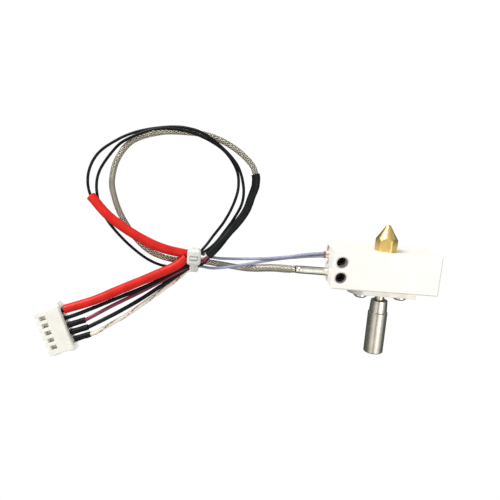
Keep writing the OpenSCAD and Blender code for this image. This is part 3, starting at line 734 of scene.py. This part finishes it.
def cable_braid():
    """Flat carriers wound both ways round the cable, over and under each other."""
    centres, stations = resample(spline(SHIELDED_CABLE), 0.15)
    tangent, side, up = frames(centres)
    count, size = len(centres), len(CARRIER_SECTION)
    twist = 2 * math.pi / LAY
    flare = 1.0 - 0.14 * np.exp(-(stations / 1.6) ** 2)      # drawn in where it is crimped
    t = np.clip((stations - TIGHTEN_AT) / TIGHTEN_OVER, 0, 1)
    body = LOOSE_RADIUS + (TIGHT_RADIUS - LOOSE_RADIUS) * t * t * (3 - 2 * t)
    slim = (body / LOOSE_RADIUS)[:, None]                    # carriers narrow with the tube
    wave = np.cos(CARRIERS * twist * stations)
    points, faces, uvs = [], [], []
    for way in (1, -1):
        on_top = 0.5 + 0.5 * way * wave
        radius = ((body + way * WEAVE * wave) * flare)[:, None]
        for i in range(CARRIERS):
            angle = (2 * math.pi * i / CARRIERS + way * twist * stations)[:, None]
            outward = np.cos(angle) * side + np.sin(angle) * up
            around = -np.sin(angle) * side + np.cos(angle) * up
            middle = centres + radius * outward
            run = tangent + way * twist * radius * around
            run /= np.linalg.norm(run, axis=1)[:, None]
            width = np.cross(outward, run)
            first = len(points)
            strip = np.stack([middle + across * slim * width + out * outward
                              for across, out in CARRIER_SECTION], 1)
            points.extend(strip.reshape(-1, 3).tolist())
            for j in range(count - 1):
                faces += quad_band(first + j * size, first + (j + 1) * size, size)
                for k in range(size):
                    v, next_v = CARRIER_V[k], CARRIER_V[(k + 1) % size]
                    uvs += [(on_top[j], v), (on_top[j], next_v),
                            (on_top[j + 1], next_v), (on_top[j + 1], v)]
            faces.append(tuple(first + k for k in range(size))[::-1])
            faces.append(tuple(first + (count - 1) * size + k for k in range(size)))
            uvs += [(0, 0)] * size * 2
    return make_mesh("sensor_cable_braid", points, faces, uvs, "braid")


def core_shape(along, angle, length):
    """Fatter inside the loose part of the braid."""
    return 1.0 + 0.34 * (1 - min(max((along - TIGHTEN_AT) / TIGHTEN_OVER, 0), 1))


piece = cable_braid()
stand_in(piece, "tinned_braid", "sensor_cable")
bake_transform(piece)
piece = sweep("sensor_cable_core", SHIELDED_CABLE, 0.78, "core", core_shape, sides=12,
              step=0.8, soft_ends=False)
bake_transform(piece)


# ------------------------------------------------------------------ sleeves and wires, harness
def three_lobes(along, angle, length):
    """Drawn down over three twisted wires, still round where it grips the braid."""
    grip = 1.0 / (1.0 + math.exp((along - 4.6) * 1.6))
    lobes = 0.055 * math.cos(3 * (angle - 0.16 * along)) * (1 - grip)
    rim = 0.02 * math.exp(-((length - along) / 0.8) ** 2)
    place = (along * 0.5, math.cos(angle), math.sin(angle) + 4.0)
    return grip + 0.955 * (1 - grip) + lobes + rim + 0.03 * mnoise.noise(Vector(place))


piece = tube("breakout_shrink", BREAKOUT, 1.32, 0.14, "black_shrink", three_lobes,
             sides=30, step=0.3)
stand_in(piece, "black_shrink", "breakout_sleeve")
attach(piece, "harness")

# colour, seed, then sideways, upwards, middle z, end y and end z of its route
for colour, seed, *offsets in (("maroon", 23, 0, 0.58, -6.7, 22.9, -7.3),
                               ("white", 22, -0.5, -0.29, -7.8, 23.7, -8.05),
                               ("black", 22, 0.5, -0.29, -7.5, 21.6, -7.8)):
    piece = sweep(f"sensor_wire_{colour}_skin", sensor_route(*offsets), 0.49, colour,
                  uneven(seed, amount=0.05), sides=14, step=0.3)
    stand_in(piece, f"{colour}_pvc", f"sensor_wire_{colour}")
    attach(piece, "harness")

for which, knots in (("outer", LOOP_OUTER), ("inner", LOOP_INNER)):
    piece = sweep(f"loop_wire_{which}_skin", knots, 0.45, "black",
                  uneven(seed=21, amount=0.07, pitch=0.3))
    stand_in(piece, "black_pvc", f"loop_wire_{which}")
    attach(piece, "harness")


def red_shape(seed, bulge_start, bulge_end):
    """A slightly fatter stretch over the splice, soft unevenness, puckered rims."""
    def shape(along, angle, length):
        c, s = math.cos(angle), math.sin(angle)
        bulge = 0.035 * (1 / (1 + math.exp(-(along - bulge_start) * 1.2))
                         - 1 / (1 + math.exp(-(along - bulge_end) * 1.2)))
        lumps = 0.030 * mnoise.noise(Vector((along * 0.22, c * 0.8 + seed, s * 0.8)))
        lumps += 0.012 * mnoise.noise(Vector((along * 0.9, c * 2.0 + seed, s * 2.0)))
        rim = 0.025 * math.exp(-(along / 0.7) ** 2)
        rim += 0.02 * math.exp(-((length - along) / 0.7) ** 2)
        return 0.975 + bulge + lumps + rim
    return shape


def red_sleeve(level, knots, shape):
    piece = tube(f"red_shrink_{level}", knots, 1.5, 0.28, "red", shape, sides=36, step=0.35)
    stand_in(piece, "red_shrink", f"red_sleeve_{level}")
    return piece


piece = red_sleeve("upper", [[-60.0, 24.9, -8.7]] + RED_UPPER,
                   red_shape(seed=1.0, bulge_start=8.0, bulge_end=15.0))
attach(piece, "harness")

# ------------------------------------------------------------------ plug side
piece = red_sleeve("lower", RED_LOWER, red_shape(seed=9.0, bulge_start=20.0, bulge_end=30.0))
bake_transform(piece)

for number, (finish, slot, radius, knots, on_pin) in PLUG_WIRES.items():
    knots = knots + [pin(number, back) for back in on_pin]
    piece = sweep(f"plug_wire_{number}_skin", knots, radius, finish,
                  uneven(seed=20 + number, amount=0.06, pitch=0.3))
    stand_in(piece, slot, f"plug_wire_{number}")
    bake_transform(piece)


def pin_shape(number):
    """Narrowed at the wire end and in a waist, flared at the plug end."""
    def shape(along, angle, length):
        ends = 0.10 * math.exp(-((length - along) / 0.6) ** 2)
        ends -= 0.05 * math.exp(-(along / 0.5) ** 2)
        waist = -0.05 * math.exp(-((along - 2.6) / 0.8) ** 2)
        place = (along * 1.1, math.cos(angle) + number * 3.1, math.sin(angle))
        return 0.98 + ends + waist + 0.03 * mnoise.noise(Vector(place))
    return shape


for number in (3, 4, 5):
    knots = [pin(number, back) for back in (5.9, 4.2, 2.4, 0.4)]
    piece = tube(f"pin_shrink_{number}", knots, 1.0, 0.26, "black_shrink", pin_shape(number),
                 sides=22, step=0.18, lip=0.06)
    stand_in(piece, "black_shrink", "pin_sleeves")
    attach(piece, "plug")

# ------------------------------------------------------------------ cable tie
TIE_X = -58.3
TIE_SPAN, TIE_RISE = 5.9, 4.85           # loop in Y and Z, before allowances for the strap
HEAD_Z = FLOOR_Z + TIE_RISE + 0.5        # underside of the head


def rounded_loop(width, height, radius, steps):
    """Rounded rectangle centred on 0, counter-clockwise: (y, z, normal y, normal z)."""
    y, z = width / 2 - radius, height / 2 - radius
    points = []
    for centre_y, centre_z, start in ((y, z, 0), (-y, z, 90), (-y, -z, 180), (y, -z, 270)):
        for i in range(steps + 1):
            a = math.radians(start + 90 * i / steps)
            c, s = math.cos(a), math.sin(a)
            points.append((centre_y + radius * c, centre_z + radius * s, c, s))
    return points


def tie_strap():
    """Strap round the bundle in the YZ plane, ribbed on its outside."""
    height = TIE_RISE + 0.48
    corners = rounded_loop(width=TIE_SPAN + 0.9, height=height, radius=1.75, steps=9)
    # fill in the straight runs so that the ribs show
    points = []
    for a, b in zip(corners, corners[1:] + corners[:1]):
        count = max(1, int(math.hypot(b[0] - a[0], b[1] - a[1]) / 0.16))
        for j in range(count):
            y, z, normal_y, normal_z = (p + (q - p) * (j / count) for p, q in zip(a, b))
            size = math.hypot(normal_y, normal_z)
            points.append((y, z, normal_y / size, normal_z / size))
    rib_pitch, rib_height, groove = 0.5, 0.06, 0.10
    thick, half = 0.36, 1.25               # half thickness, half width
    rings = []
    along = 0.0
    for i, (y, z, normal_y, normal_z) in enumerate(points):
        if i:
            along += math.hypot(y - points[i - 1][0], z - points[i - 1][1])
        centre = np.array([TIE_X, 23.15 + y, FLOOR_Z + 0.42 + height / 2 + z])
        normal = np.array([0, normal_y, normal_z])
        rib = rib_height if (along / rib_pitch) % 1.0 < 0.5 else 0
        # across the strap, outwards
        section = [(-half, -thick * 0.5), (-half + 0.12, -thick), (half - 0.12, -thick),
                   (half, -thick * 0.5), (half, thick * 0.4), (half - 0.14, thick),
                   (half * 0.62, thick), (half * 0.58, thick - groove + rib),
                   (-half * 0.58, thick - groove + rib), (-half * 0.62, thick),
                   (-half + 0.14, thick), (-half, thick * 0.4)]
        rings.append(np.array([centre + np.array([x, 0, 0]) + normal * out
                               for x, out in section]))
    return loft("tie_strap", rings, "tie", closed=True)


def box_mesh(name, low, high, bevel=0.0):
    bm = bmesh.new()
    bmesh.ops.create_cube(bm, size=1.0)
    low, high = np.array(low), np.array(high)
    for vert in bm.verts:
        vert.co = Vector(((low + high) / 2 + np.array(vert.co) * (high - low)) * MM)
    if bevel:
        bmesh.ops.bevel(bm, geom=list(bm.edges), offset=bevel * MM, segments=6, profile=0.6,
                        affect="EDGES")
    mesh = bpy.data.meshes.new(name)
    bm.to_mesh(mesh)
    bm.free()
    return mesh


def tie_head():
    """Rounded block with a shallow rectangular pocket in its top."""
    mesh = box_mesh("tie_head", (TIE_X - 2.1, 22.4, HEAD_Z), (TIE_X + 2.1, 27.2, HEAD_Z + 2.8),
                    bevel=0.95)
    head = add_object("tie_head", mesh)
    mesh.materials.append(FINISH["tie"])
    cutter = add_object("tie_head_cut",
                        box_mesh("tie_head_cut", (TIE_X - 1.22, 23.9, HEAD_Z + 2.3),
                                 (TIE_X + 1.22, 25.3, HEAD_Z + 5)))
    cut = head.modifiers.new("cut", "BOOLEAN")
    cut.operation = "DIFFERENCE"
    cut.solver = "EXACT"
    cut.object = cutter
    depsgraph = bpy.context.evaluated_depsgraph_get()
    result = bpy.data.meshes.new_from_object(head.evaluated_get(depsgraph))
    head.modifiers.clear()
    head.data = result
    bpy.data.objects.remove(cutter)
    for polygon in head.data.polygons:
        polygon.use_smooth = False
    return head


def tie_tail():
    """Ribbed end of the strap, standing up through the head."""
    steps = 26
    half, thick = 1.12, 0.42
    rings = []
    for i in range(steps + 1):
        y = 24.6 + 0.05 * math.sin(i * 0.2)
        z = HEAD_Z + 0.5 + 2.45 * i / steps
        rib_y = thick - 0.12 + (0.10 if i % 2 else 0)
        slant = 0.075 * (i / steps)        # the cut end slopes a little across X
        section = [(-half, -thick), (half, -thick), (half, thick * 0.6), (half * 0.6, thick),
                   (half * 0.55, rib_y), (-half * 0.55, rib_y), (-half * 0.6, thick),
                   (-half, thick * 0.6)]
        rings.append(np.array([[TIE_X + a, y + b, z - slant * a] for a, b in section]))
    return loft("tie_tail", rings, "tie")


for piece in (tie_strap(), tie_head(), tie_tail()):
    stand_in(piece, "tie_nylon", "cable_tie")
    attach(piece, "harness")


# ------------------------------------------------------------------ sensor ferrule
def sensor_ferrule():
    """Sheath round the sensor bore's axis, crimped on the cable at its -X end."""
    start, end = -26.35, -5.9
    outer, inner = 1.25, 0.95
    grooves = ((0.75, 0.10), (1.9, 0.03))      # distance from the start, depth
    # closed outline as (x, radius): the mouth, the grooved run, the far end
    outline = [(start + 6, inner), (start + 3, 1.02), (start + 0.1, 1.16), (start, 1.20),
               (start + 0.05, outer - 0.01)]
    x = start + 0.15
    while x < start + 9.6:
        dip = sum(depth * math.exp(-((x - start - place) / 0.2) ** 2)
                  for place, depth in grooves)
        outline.append((x, outer - dip))
        x += 0.12
    outline += [(start + 12, outer), (end - 0.25, outer), (end, outer - 0.25), (end, 0.02),
                (end - 0.6, 0.02), (end - 0.6, inner)]
    sides = 48
    angles = np.arange(sides) * 2 * math.pi / sides
    rings = [np.stack([np.full(sides, x), SENSOR_Y + radius * np.cos(angles),
                       SENSOR_Z + radius * np.sin(angles)], 1) for x, radius in outline]
    return loft("sensor_ferrule", rings, "sheath", closed=True)


piece = sensor_ferrule()
stand_in(piece, "sheath_steel", "sensor_tube")
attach(piece, "block")

# ------------------------------------------------------------------ finishes of the CAD nodes
NODE_FINISH = {
    # nodes that stay in view
    "heater_block": "block", "heat_break": "turned", "cold_side_plate": "plate",
    "plate_screws": "screw", "heater_cartridge": "sheath", "heater_core": "ceramic",
    "heater_end_seal": "cement", "sensor_bead": "bead", "nozzle": "brass",
    "grub_screw_heater": "grub", "grub_screw_sensor": "grub", "splice_outer": "ferrule",
    "splice_inner": "ferrule", "plug_housing": "plug", "crimp_terminals": "contact",
    # nodes replaced by the pieces above
    "heater_tail_upper": "lead", "heater_tail_lower": "lead", "heater_lead_upper": "lead",
    "heater_lead_lower": "lead", "sensor_cable": "braid", "breakout_sleeve": "black_shrink",
    "sensor_wire_maroon": "maroon", "sensor_wire_black": "black",
    "sensor_wire_white": "white", "loop_wire_outer": "black", "loop_wire_inner": "black",
    "red_sleeve_upper": "red", "cable_tie": "tie", "red_sleeve_lower": "red",
    "plug_wire_1": "black", "plug_wire_2": "black", "plug_wire_3": "maroon",
    "plug_wire_4": "black", "plug_wire_5": "white", "pin_sleeves": "black_shrink",
    "sensor_tube": "sheath",
}
for name, finish in NODE_FINISH.items():
    if name in NODES:      # a frame may come without some of its nodes
        node = NODES[name]
        if len(node.material_slots) == 0:
            node.data.materials.append(FINISH[finish])
        for material_slot in node.material_slots:
            material_slot.material = FINISH[finish]

# ------------------------------------------------------------------ stage, in metres
# the floor lies a hair below the parts that touch it
bpy.ops.mesh.primitive_plane_add(size=3.0, location=(-0.045, 0.03, FLOOR_Z * MM - 0.00002))
floor = bpy.context.object
floor.name = "studio_floor"
floor.data.materials.append(FINISH["floor"])


def studio_world():
    """An even white tent for bounced light; polished things see a shaded one."""
    world = bpy.data.worlds.new("studio")
    SCENE.world = world
    world.use_nodes = True
    g = Graph(world.node_tree)
    x, _, z = g.split(g.add("TexCoord").outputs["Generated"])
    sky = g.ramp(z, (0.0, (0.13, 0.14, 0.13)), (0.22, (0.24, 0.25, 0.25)),
                 (0.50, (0.60, 0.60, 0.58)), (0.80, (1.0, 0.985, 0.95)))
    # a dim brown band crosses the sky at x / z = -0.27
    slope = g.math("DIVIDE", x, g.math("MAXIMUM", z, 0.05))
    off_band = g.math("ABSOLUTE", g.math("ADD", slope, 0.27))
    band = g.remap(off_band, span=(0.07, 0.20), to=(1.0, 0.0), interpolation="SMOOTHSTEP")
    reflected = g.mix(band, sky, (0.34, 0.25, 0.17))
    glossy = g.add("LightPath").outputs["Is Glossy Ray"]
    g.set(g.tree.nodes["Background"], Strength=1.0,
          Color=g.mix(glossy, (0.67, 0.66, 0.635), reflected))


def area_light(name, location, size, power):
    light = bpy.data.lights.new(name, "AREA")
    light.shape = "DISK"
    light.size = size
    light.energy = power
    light.color = (1.0, 0.99, 0.97)
    lamp = add_object(name, light)
    lamp.location = location
    aim = Vector((-0.03, 0.03, 0)) - Vector(location)
    lamp.rotation_euler = aim.to_track_quat("-Z", "Y").to_euler()


def add_camera():
    """Looks down on the parts, a little tilted."""
    data = bpy.data.cameras.new("camera")
    camera = add_object("camera", data)
    place = Vector((-45.302, 60.906, 166.989)) * MM
    right = Vector((0.99672, 0.08037, 0.00962)).normalized()
    ahead = Vector((0.02446, -0.18575, -0.98229)).normalized()
    up = right.cross(ahead).normalized()
    right = ahead.cross(up).normalized()
    rows = [(right[k], up[k], -ahead[k], place[k]) for k in range(3)]
    camera.matrix_world = Matrix((*rows, (0, 0, 0, 1)))
    data.sensor_width = 36.0
    data.lens = 40.32
    data.clip_start = 0.005
    data.clip_end = 10.0
    SCENE.camera = camera


studio_world()
area_light("key", location=(-0.55, 0.72, 0.24), size=0.40, power=7.5)
area_light("fill", location=(0.35, -0.05, 0.80), size=0.45, power=1.2)
add_camera()
